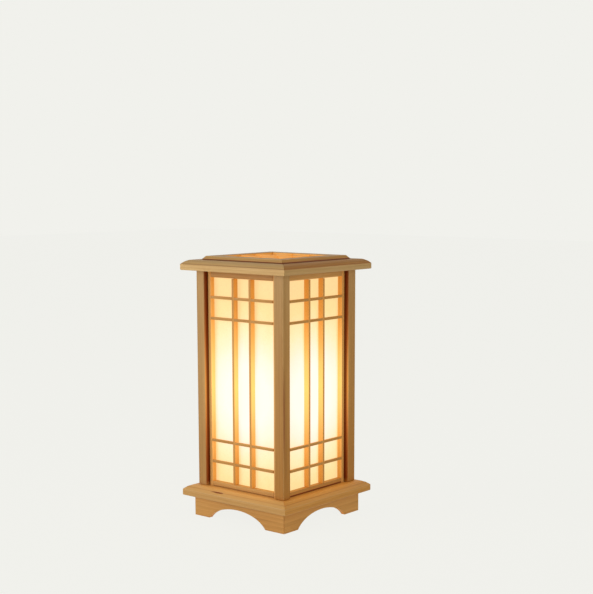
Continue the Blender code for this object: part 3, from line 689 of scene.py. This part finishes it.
def make_base(wood):
    """Base mouldings with the split in the front one, and arched aprons, all mitred.

    The split is widest two thirds of the way along: its width follows the way along times the root of the
    way left.
    """
    low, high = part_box("base_moulding_front")
    half = -low.y
    ledge = -high.y
    seat = ledge + BOARD_LEDGE
    board_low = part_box("floor_board")[0].z - FIT_GAP
    lip = (half, low.z + BASE_LIP)
    top = (half - BASE_SLOPE_RUN, high.z)
    crown = slope_crown(lip, top)
    corners = [(half, low.z, LIP_ROUND), (*lip, LIP_CREASE), (*toward(crown, lip, MARK_REACH), HAIR_EDGE),
               (*crown, BASE_SLOPE_ROUND), (*toward(crown, top, MARK_REACH), HAIR_EDGE), (*top, LIP_ROUND),
               (seat, high.z, CORNER_ROUND), (seat, board_low, CORNER_ROUND),
               (ledge, board_low, CORNER_ROUND), (ledge, low.z, CORNER_ROUND)]
    apron_low, apron_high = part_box("apron_front")
    panel_face = -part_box("front_bottom_rail")[0].y
    for quarters, side in enumerate(SIDES):
        rail = moulding(corners, BASE_STEPS)
        points = rail["points"]
        outside = points[:, Y] < -seat - CORNER_ROUND
        # painted light and shade: the slope's upward faces take their own tone and amber, and glow with the
        # sheets' light, more beside the panels
        upward = facing(rail, Z, 1) * outside
        colour_wood(rail, "base_band", quarters, 1 - upward)
        colour_wood(rail, "base_slope", quarters, upward)
        near_panel = np.clip(1 - (-points[:, Y] - panel_face) / (half - panel_face), 0, 1)
        rail["glow"] = upward ** 2 * (SLOPE_LIT + PANEL_SIDE_LIT * near_panel)
        from_crease = np.hypot(-points[:, Y] - crown[0], points[:, Z] - crown[1])
        rail["shade"] = CREASE_SHADE * np.exp(-(from_crease / CREASE_HALF) ** 2)
        if side == "front":
            along = np.clip((points[:, X] - FLAW_START) / FLAW_LENGTH, 0, 1)
            taper = FLAW_PEAK * along * np.sqrt(1 - along)
            split = np.clip(FLAW_FADE * taper - from_crease / FLAW_HALF, 0, 1)
            rail["points"] = points - FLAW_DEPTH * split[:, None] * rail["out"]
            rail["shade"] = np.maximum(rail["shade"], split)
            rail["glow"] = rail["glow"] * (1 - split)
        add_wood("base_moulding_" + side, rail, quarters, wood, "lantern")
        front = apron(-apron_low.y, -apron_high.y, apron_high.z, ARCH_SHIFTS[quarters])
        colour_wood(front, "apron", quarters)
        # painted light bounced up from the floor on the aprons' undersides
        front["glow"] = SOFFIT_LIT * facing(front, Z, -1) ** 2
        add_wood("apron_" + side, front, quarters, wood, "lantern")


def make_posts(wood):
    """Corner posts with eased edges and a dark streak on the near one.

    In the recess beside each panel they are dark, and lit as deep as the panel's light reaches. A little of
    it spills over the edge and fades across the face.
    """
    low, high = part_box("corner_post_front_right")
    for quarters, corner in enumerate(CORNERS):
        post = strip(low, high, Z, POST_EDGE, *POST_STEPS)
        points = post["points"]
        top_amber, foot_amber = POST_AMBER[quarters]
        down = (high.z - points[:, Z]) / (high.z - low.z)
        post["tone"] = post["tone"] * POST_TONE
        # painted warm light: amber grows from the top towards the foot
        post["amber"] = top_amber + (foot_amber - top_amber) * np.sqrt(down)
        # painted shade in the recess beside each panel, painted light as deep as the panel's light reaches,
        # and a little spilling over the edge
        left_face = facing(post, X, -1) ** 2
        back_face = facing(post, Y, 1) ** 2
        depth = left_face * (points[:, Y] - low.y) + back_face * (high.x - points[:, X])
        inside = np.clip(left_face + back_face, 0, 1)
        hidden = np.clip(0.5 + (depth - RECESS_REACH) / POST_EDGE, 0, 1)
        dark = inside * (RECESS_SHADE + HIDDEN_SHADE * hidden)
        from_end = np.minimum(points[:, Z] - low.z, high.z - points[:, Z])
        post["shade"] = np.where(from_end < POST_EDGE, END_GRAIN_SHADE, dark)
        front = post["out"][:, Y] < -FACING
        right = post["out"][:, X] > FACING
        spill = np.exp((low.x - points[:, X]) / SPILL_REACH) * front
        spill = spill + np.exp((points[:, Y] - high.y) / SPILL_REACH) * right
        by_bulb = np.exp(-((points[:, Z] - LIGHT_MIDDLE[Z]) / RECESS_SPREAD) ** 2)
        post["glow"] = by_bulb * (inside * (RECESS_LIT - RECESS_LOSS * hidden) + SPILL * spill)
        if corner == "front_right":
            beside = (points[:, Y] - low.y - STREAK_PLACE[0]) / STREAK_SIZE[0]
            above = (points[:, Z] - STREAK_PLACE[1]) / STREAK_SIZE[1]
            streak = np.exp(-beside ** 2) * np.exp(-above ** 4)
            post["shade"] = np.maximum(post["shade"], STREAK_SHADE * streak * right)
        add_wood("corner_post_" + corner, post, quarters, wood, "lantern")


def make_frame(side, quarters, wood):
    """A panel's stiles, painted lit inside, and its rails, with painted shade at the lower one's foot."""
    for part, inward in (("left_stile", 1), ("right_stile", -1)):
        piece = stile(*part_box("front_" + part), inward, STILE_STEPS)
        colour_wood(piece, "stile", quarters)
        # painted light of the sheet on the inner sides and fronts, and painted shade in the groove beside
        # the post
        lit = STILE_LIT * facing(piece, X, inward) ** 2 + FRONT_LIT * facing(piece, Y, -1) ** 2
        piece["glow"] = np.where(piece["groove"], GROOVE_LIT, lit)
        piece["shade"] = 1.0 * piece["groove"]
        add_wood(side + "_" + part, piece, quarters, wood, "lantern")
    for part, upward in (("bottom_rail", 1), ("top_rail", -1)):
        low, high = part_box("front_" + part)
        piece = strip(low, high, X, STRIP_EDGE, *RAIL_STEPS)
        colour_wood(piece, part, quarters)
        # painted light of the sheet on the rail's edge that looks at it
        piece["glow"] = RAIL_LIT[part] * facing(piece, Z, upward) ** 2
        # painted shade along the foot of the bottom rail, where it meets the base
        foot_shade, foot_shade_height = RAIL_FOOT_SHADE[quarters % 2]
        in_joint = piece["points"][:, Z] < low.z + foot_shade_height
        piece["shade"] = foot_shade * in_joint * (part == "bottom_rail")
        add_wood(side + "_" + part, piece, quarters, wood, "lantern")


def bar_lines(left, right, middle):
    """Where a lattice's two bars stand, and the places between which its laths run, in pairs."""
    bars = [middle - BAR_SPACING / 2, middle + BAR_SPACING / 2]
    sides = [bar + way * BAR_WIDTH / 2 for bar in bars for way in (-1, 1)]
    return bars, [left, *sides, right]


def make_panels(wood, paper):
    """On each side a frame of stiles and rails, a lattice of bars and laths, and the lit sheet.

    The sheet is dimmer beside the bars and the stiles, by a bell curve of the distance.
    """
    low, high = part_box("front_lattice")
    bars, stops = bar_lines(low.x, high.x, (low.x + high.x) / 2)
    bottom_lath = low.z - FIT_GAP + BOTTOM_LATH_RISE
    top_lath = high.z + FIT_GAP - TOP_LATH_DROP
    laths = [bottom_lath, bottom_lath + LATH_SPACING, top_lath - TOP_LATH_SPACING, top_lath]
    edges = [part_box("front_left_stile")[1].x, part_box("front_right_stile")[0].x]
    shadows = np.array(stops[1:-1] + edges)
    for quarters, side in enumerate(SIDES):
        make_frame(side, quarters, wood)
        sticks = []
        for bar in bars:
            under = (bar - BAR_WIDTH / 2, low.y, low.z)
            over = (bar + BAR_WIDTH / 2, high.y, high.z)
            stick = strip(under, over, Z, STRIP_EDGE, *BAR_STEPS)
            # painted light of the sheet on the sides of the bars and laths
            stick["glow"] = BAR_LIT * stick["out"][:, X] ** 2 + FRONT_LIT * stick["out"][:, Y] ** 2
            sticks.append(stick)
        for lath in laths:
            for left, right in zip(stops[::2], stops[1::2]):
                under = (left, low.y, lath - LATH_HEIGHT / 2)
                over = (right, low.y + LATH_DEPTH, lath + LATH_HEIGHT / 2)
                stick = strip(under, over, X, STRIP_EDGE)
                stick["glow"] = LATH_LIT * stick["out"][:, Z] ** 2
                sticks.append(stick)
        lattice = joined(sticks)
        colour_wood(lattice, "lattice", quarters)
        add_wood(side + "_lattice", lattice, quarters, wood, "lantern")
        sheet = strip(*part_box("front_diffuser"), Z, SHEET_EDGE, *SHEET_STEPS)
        away = np.abs(sheet["points"][:, X, None] - shadows).min(axis=1)
        sheet["shade"] = np.exp(-(away / DIM_REACH) ** 2)
        node = side + "_diffuser"
        add_piece(node + "_paper", quarter_turned(sheet, quarters), paper, "lantern", "paper_sheet", node)


def make_lid(wood, paper):
    """Two mitred tiers, the lattice between them and the sheet under it."""
    low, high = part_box("lid_moulding_front")
    half = -low.y
    inner = -high.y
    outer = inner + TONGUE_WIDTH
    bottom = low.z + TONGUE_DEPTH
    lip = (half, bottom + LID_LIP)
    top = (half - LID_SLOPE_RUN, high.z)
    crown = slope_crown(lip, top)
    tier = [(outer, bottom, CORNER_ROUND), (half, bottom, LIP_ROUND), (*lip, LIP_CREASE),
            (*toward(lip, crown, MARK_REACH), HAIR_EDGE), (*crown, LID_SLOPE_ROUND), (*top, LIP_ROUND),
            (inner, high.z, CORNER_ROUND), (inner, low.z, CORNER_ROUND), (outer, low.z, CORNER_ROUND)]
    rim_low, rim_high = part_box("lid_rim_front")
    opening = -rim_high.y
    foot = (-rim_low.y, rim_low.z)
    rim_top = (foot[0] - RIM_SLOPE_RUN, rim_high.z)
    rim = [(*foot, HAIR_EDGE), (*toward(foot, rim_top, RIM_JOINT_SHADE), HAIR_EDGE), (*rim_top, LIP_CREASE),
           (opening, rim_high.z, CORNER_ROUND), (opening, rim_low.z, CORNER_ROUND)]
    for quarters, side in enumerate(SIDES):
        lower = moulding(tier, LID_STEPS)
        # painted shade: as its faces turn upward the tier takes the slope's darker, more amber colour
        upward = np.clip(LIP_TURN * lower["out"][:, Z], 0, 1)
        colour_wood(lower, "lid_lip", quarters, 1 - upward)
        colour_wood(lower, "lid_slope", quarters, upward)
        # painted shade along the foot of the slope, just above the lip
        from_lip = np.hypot(-lower["points"][:, Y] - lip[0], lower["points"][:, Z] - lip[1])
        lower["shade"] = SLOPE_FOOT_SHADE * (from_lip < MARK_REACH) * (lower["out"][:, Z] > FACING)
        add_wood("lid_moulding_" + side, lower, quarters, wood, "lid")
        upper = moulding(rim, LID_STEPS)
        colour_wood(upper, "rim", quarters)
        # painted light of the lid's sheet inside the rim, and painted shade along the rim's foot
        upper["glow"] = OPENING_LIT * facing(upper, Y, 1)
        from_foot = np.hypot(-upper["points"][:, Y] - foot[0], upper["points"][:, Z] - foot[1])
        upper["shade"] = 1.0 * (from_foot < RIM_JOINT_SHADE)
        add_wood("lid_rim_" + side, upper, quarters, wood, "lid")
    low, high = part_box("lid_lattice")
    bars, stops = bar_lines(low.x, high.x, 0.0)
    sticks = []
    for bar in bars:
        under = (bar - BAR_WIDTH / 2, low.y, low.z)
        over = (bar + BAR_WIDTH / 2, high.y, high.z)
        stick = strip(under, over, Y, STRIP_EDGE, *LID_BAR_STEPS)
        # painted light of the lid's sheet on the lattice, more on its sides
        stick["glow"] = LID_LATTICE_LIT + LID_SIDE_LIT * stick["out"][:, X] ** 2
        sticks.append(stick)
    for bar in bars:
        for left, right in zip(stops[::2], stops[1::2]):
            under = (left, bar - BAR_WIDTH / 2, low.z)
            over = (right, bar + BAR_WIDTH / 2, high.z)
            stick = strip(under, over, X, STRIP_EDGE)
            stick["glow"] = LID_LATTICE_LIT + LID_SIDE_LIT * stick["out"][:, Y] ** 2
            sticks.append(stick)
    lattice = joined(sticks)
    colour_wood(lattice, "lid_lattice", 0)
    add_wood("lid_lattice", lattice, 0, wood, "lid")
    sheet = strip(*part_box("lid_diffuser"), X, SHEET_EDGE, *LID_SHEET_STEPS)
    add_piece("lid_diffuser_paper", sheet, paper, "lid", "paper_sheet", "lid_diffuser")


def thread_stand(heights, low, high):
    """How far a right-handed round thread stands out at each height and angle, running out at both ends."""
    angles = np.linspace(0.0, 2 * math.pi, SEGMENTS, endpoint=False)
    wave = (1 + np.cos(2 * math.pi * heights[:, None] / THREAD_PITCH - angles)) / 2
    from_end = np.minimum(heights - low, high - heights)
    return THREAD_DEPTH * wave * np.clip(2 * from_end / THREAD_PITCH, 0, 1)[:, None]


def bulb_outline(radius, neck):
    """The bulb's outline from its top down: a circle to the flare, then a smooth S curve to the neck."""
    turn = np.linspace(POLE_ANGLE, -FLARE_ANGLE, GLOBE_STEPS)
    globe = np.column_stack([radius * np.cos(turn), BULB_MIDDLE + radius * np.sin(turn)])
    wide, high = globe[-1]
    share = np.linspace(1.0, 0.0, FLARE_STEPS)[1:]
    slope = math.tan(FLARE_ANGLE) * (high - NECK_TOP)
    flare = neck + (wide - neck) * share ** 2 * (3 - 2 * share) + slope * share ** 2 * (share - 1)
    rows = np.vstack([globe, np.column_stack([flare, NECK_TOP + (high - NECK_TOP) * share])])
    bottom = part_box("bulb_glass")[0].z
    return np.vstack([rows, [(neck, bottom)]])


def make_light(finishes):
    """The lampholder on the floor board and the screw bulb in it."""
    low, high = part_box("holder_body")
    outer = high.x
    bore = outer - HOLDER_WALL
    floor_low, floor_high = SOCKET_FLOOR
    cup = [(NEAR_AXIS, floor_low), (bore, floor_low), (bore, low.z), (outer, low.z),
           (outer, high.z - BRIM_ROUND)]
    turn = np.linspace(0.0, math.pi / 2, BRIM_STEPS)
    inward = BRIM_ROUND * (1 - np.cos(turn))
    brim = np.column_stack([outer - inward, high.z - BRIM_ROUND * (1 - np.sin(turn))])
    hollow = [(bore, high.z), (bore, floor_high), (NEAR_AXIS, floor_high)]
    rows = np.vstack([cup, brim[1:], hollow])
    body = turned(rows[:, :1], rows[:, 1])
    add_piece("holder_body_moulded", body, finishes["resin"], "lantern", "white_bakelite", "holder_body")

    low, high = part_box("bulb_cap")
    root = high.x - THREAD_DEPTH
    thread_low = low.z + CAP_FOOT
    thread_high = thread_low + THREAD_LENGTH
    heights = np.linspace(thread_low, thread_high, THREAD_STEPS)
    seat = NECK_RADIUS + FIT_GAP
    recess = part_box("bulb_glass")[0].z - FIT_GAP
    stand = root + thread_stand(heights, thread_low, thread_high)
    plain = np.ones((1, SEGMENTS))
    foot = [NEAR_AXIS * plain, seat * plain]
    socket = [root * plain, seat * plain, seat * plain, NEAR_AXIS * plain]
    levels = np.concatenate([[low.z, low.z], heights, [high.z, high.z, recess, recess]])
    cap = turned(np.vstack([*foot, stand, *socket]), levels)
    add_piece("bulb_cap_rolled", cap, finishes["aluminium"], "bulb", "bulb_aluminium", "bulb_cap")

    outside = bulb_outline(BULB_RADIUS, NECK_RADIUS)
    inside = bulb_outline(BULB_RADIUS - BULB_WALL, NECK_RADIUS - BULB_WALL)
    rows = np.vstack([outside, inside[::-1]])[::-1]
    globe = turned(rows[:, :1], rows[:, 1])
    add_piece("bulb_glass_blown", globe, finishes["opal"], "bulb", "opal_glass", "bulb_glass")

    # pieces that are shown as their CAD nodes
    carried = {"holder_flange": "resin", "holder_shell": "brass", "holder_contact": "brass",
               "holder_screw_1": "zinc", "holder_screw_2": "zinc", "bulb_insulator": "black_glass",
               "bulb_contact": "solder", "cable_grommet": "rubber", "floor_board": "plywood"}
    for node, finish in carried.items():
        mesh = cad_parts[node].data
        mesh.materials.clear()
        mesh.materials.append(finishes[finish])


def camera_share(tree):
    """1 where the stage is seen directly, in a reflection or through glass, and 0 where it gives light."""
    path = add(tree, "LightPath")
    first = add(tree, "Math", {
        0: path.outputs["Is Camera Ray"], 1: path.outputs["Is Glossy Ray"]}, operation="MAXIMUM")
    return add(tree, "Math", {
        0: first.outputs[0], 1: path.outputs["Is Transmission Ray"]}, operation="MAXIMUM").outputs[0]


def make_stage():
    """A pale floor that keeps a little of the lamp's shadow, a backdrop like it, and soft studio light."""
    pale = linear("F1F1EC")
    white = linear("FFFFFF")
    evenness = 0.95
    reach = 6.0
    target = np.array([0.0, 0.0, 0.15])
    # place, width and power of each studio lamp
    lamps = {"key": ((-1.2, -1.7, 0.40), 1.2, 26.0), "fill": ((1.9, -0.3, 0.40), 1.2, 11.0)}
    mesh = bpy.data.meshes.new("floor")
    corners = [(-reach, -reach, 0), (reach, -reach, 0), (reach, reach, 0), (-reach, reach, 0)]
    mesh.from_pydata(corners, [], [(0, 1, 2, 3)])
    floor = bpy.data.objects.new("floor", mesh)
    bpy.context.scene.collection.objects.link(floor)
    material = bpy.data.materials.new("pale_floor")
    material.use_nodes = True
    tree = material.node_tree
    tree.nodes.clear()
    seen = camera_share(tree)
    even = add(tree, "Math", {0: seen, 1: evenness}, operation="MULTIPLY")
    matt = add(tree, "BsdfDiffuse", {"Color": pale})
    flat = add(tree, "Emission", {"Color": pale, "Strength": 1.02})
    mixed = add(tree, "MixShader", {0: even.outputs[0], 1: matt.outputs[0], 2: flat.outputs[0]})
    add(tree, "OutputMaterial", {"Surface": mixed.outputs[0]})
    mesh.materials.append(material)

    world = bpy.data.worlds.new("studio")
    bpy.context.scene.world = world
    world.use_nodes = True
    tree = world.node_tree
    tree.nodes.clear()
    seen = camera_share(tree)
    sky = add(tree, "Background", {"Color": white, "Strength": 0.36})
    backdrop = add(tree, "Background", {"Color": pale, "Strength": 1.0})
    mixed = add(tree, "MixShader", {0: seen, 1: sky.outputs[0], 2: backdrop.outputs[0]})
    add(tree, "OutputWorld", {"Surface": mixed.outputs[0]})

    for name, (place, size, power) in lamps.items():
        lamp = bpy.data.lights.new(name, "AREA")
        lamp.size = size
        lamp.energy = power
        holder = bpy.data.objects.new(name, lamp)
        bpy.context.scene.collection.objects.link(holder)
        holder.location = place
        x, y, z = np.array(place) - target
        holder.rotation_euler = (math.atan2(math.hypot(x, y), z), 0.0, math.atan2(y, x) + math.pi / 2)


def make_camera():
    """The photograph's view: its place, turn and focal length, shifted to where its centre falls."""
    camera = bpy.data.cameras.new("camera")
    longer = max(IMAGE_WIDTH, IMAGE_HEIGHT)
    camera.sensor_width = SENSOR
    camera.lens = FOCAL_PIXELS * SENSOR / longer
    camera.shift_x = (IMAGE_WIDTH / 2 - CENTRE_PIXEL[0]) / longer
    camera.shift_y = (CENTRE_PIXEL[1] - IMAGE_HEIGHT / 2) / longer
    holder = bpy.data.objects.new("camera", camera)
    bpy.context.scene.collection.objects.link(holder)
    holder.location = CAMERA_PLACE
    holder.rotation_euler = (math.pi / 2 - CAMERA_PITCH, 0.0, CAMERA_TURN)
    bpy.context.scene.camera = holder


make_camera()
make_stage()
pine = oiled_pine()
parchment = lit_parchment()
make_base(pine)
make_posts(pine)
make_panels(pine, parchment)
make_lid(pine, parchment)
metal = {"Metallic": 1.0}
lit_glass = {"IOR": 1.52, "Emission Color": linear("FFE7BE"), "Emission Strength": 1.0}
make_light({
    "plywood": sanded_plywood(),
    # moulded: creamy and half glossy, with faint flow marks
    "resin": fine_grained("white_urea_resin_moulded", "DFDACD", "E9E5DB", 0.0012, 0.35, {"IOR": 1.6}),
    # pressed from sheet: warm yellow with bright rings where the tool slid
    "brass": fine_grained("brass_pressed", "B28A38", "D6B05C", 0.0006, 0.35, metal, drawn=8.0),
    # plated: a cool, slightly cloudy grey shine
    "zinc": fine_grained("zinc_plated_steel", "AEB2B7", "C4C7CB", 0.0008, 0.35, metal),
    # thread rolled into thin sheet: soft silver with fine lines round it
    "aluminium": fine_grained("aluminium_rolled", "B4B6BA", "D4D5D7", 0.0006, 0.35, metal, drawn=8.0),
    # set from a molten drop: dull grey, with patches of shine
    "solder": fine_grained("solder_tinned", "9B9DA1", "B4B6B9", 0.0008, 0.45, metal),
    # moulded: nearly black and shiny
    "black_glass": fine_grained("black_glass_moulded", "121214", "1E1E22", 0.0010, 0.20, {"IOR": 1.52}),
    # moulded: dull black, dusty rather than shiny
    "rubber": fine_grained("black_rubber_moulded", "191919", "262626", 0.0007, 0.75, {"IOR": 1.52}),
    # blown and flashed white: smooth and shiny, with the lamp's warm light all through it
    "opal": fine_grained("opal_glass_blown", "F2EEE2", "FAF7EE", 0.0060, 0.25, lit_glass),
})
bpy.context.scene.view_settings.view_transform = "Standard"
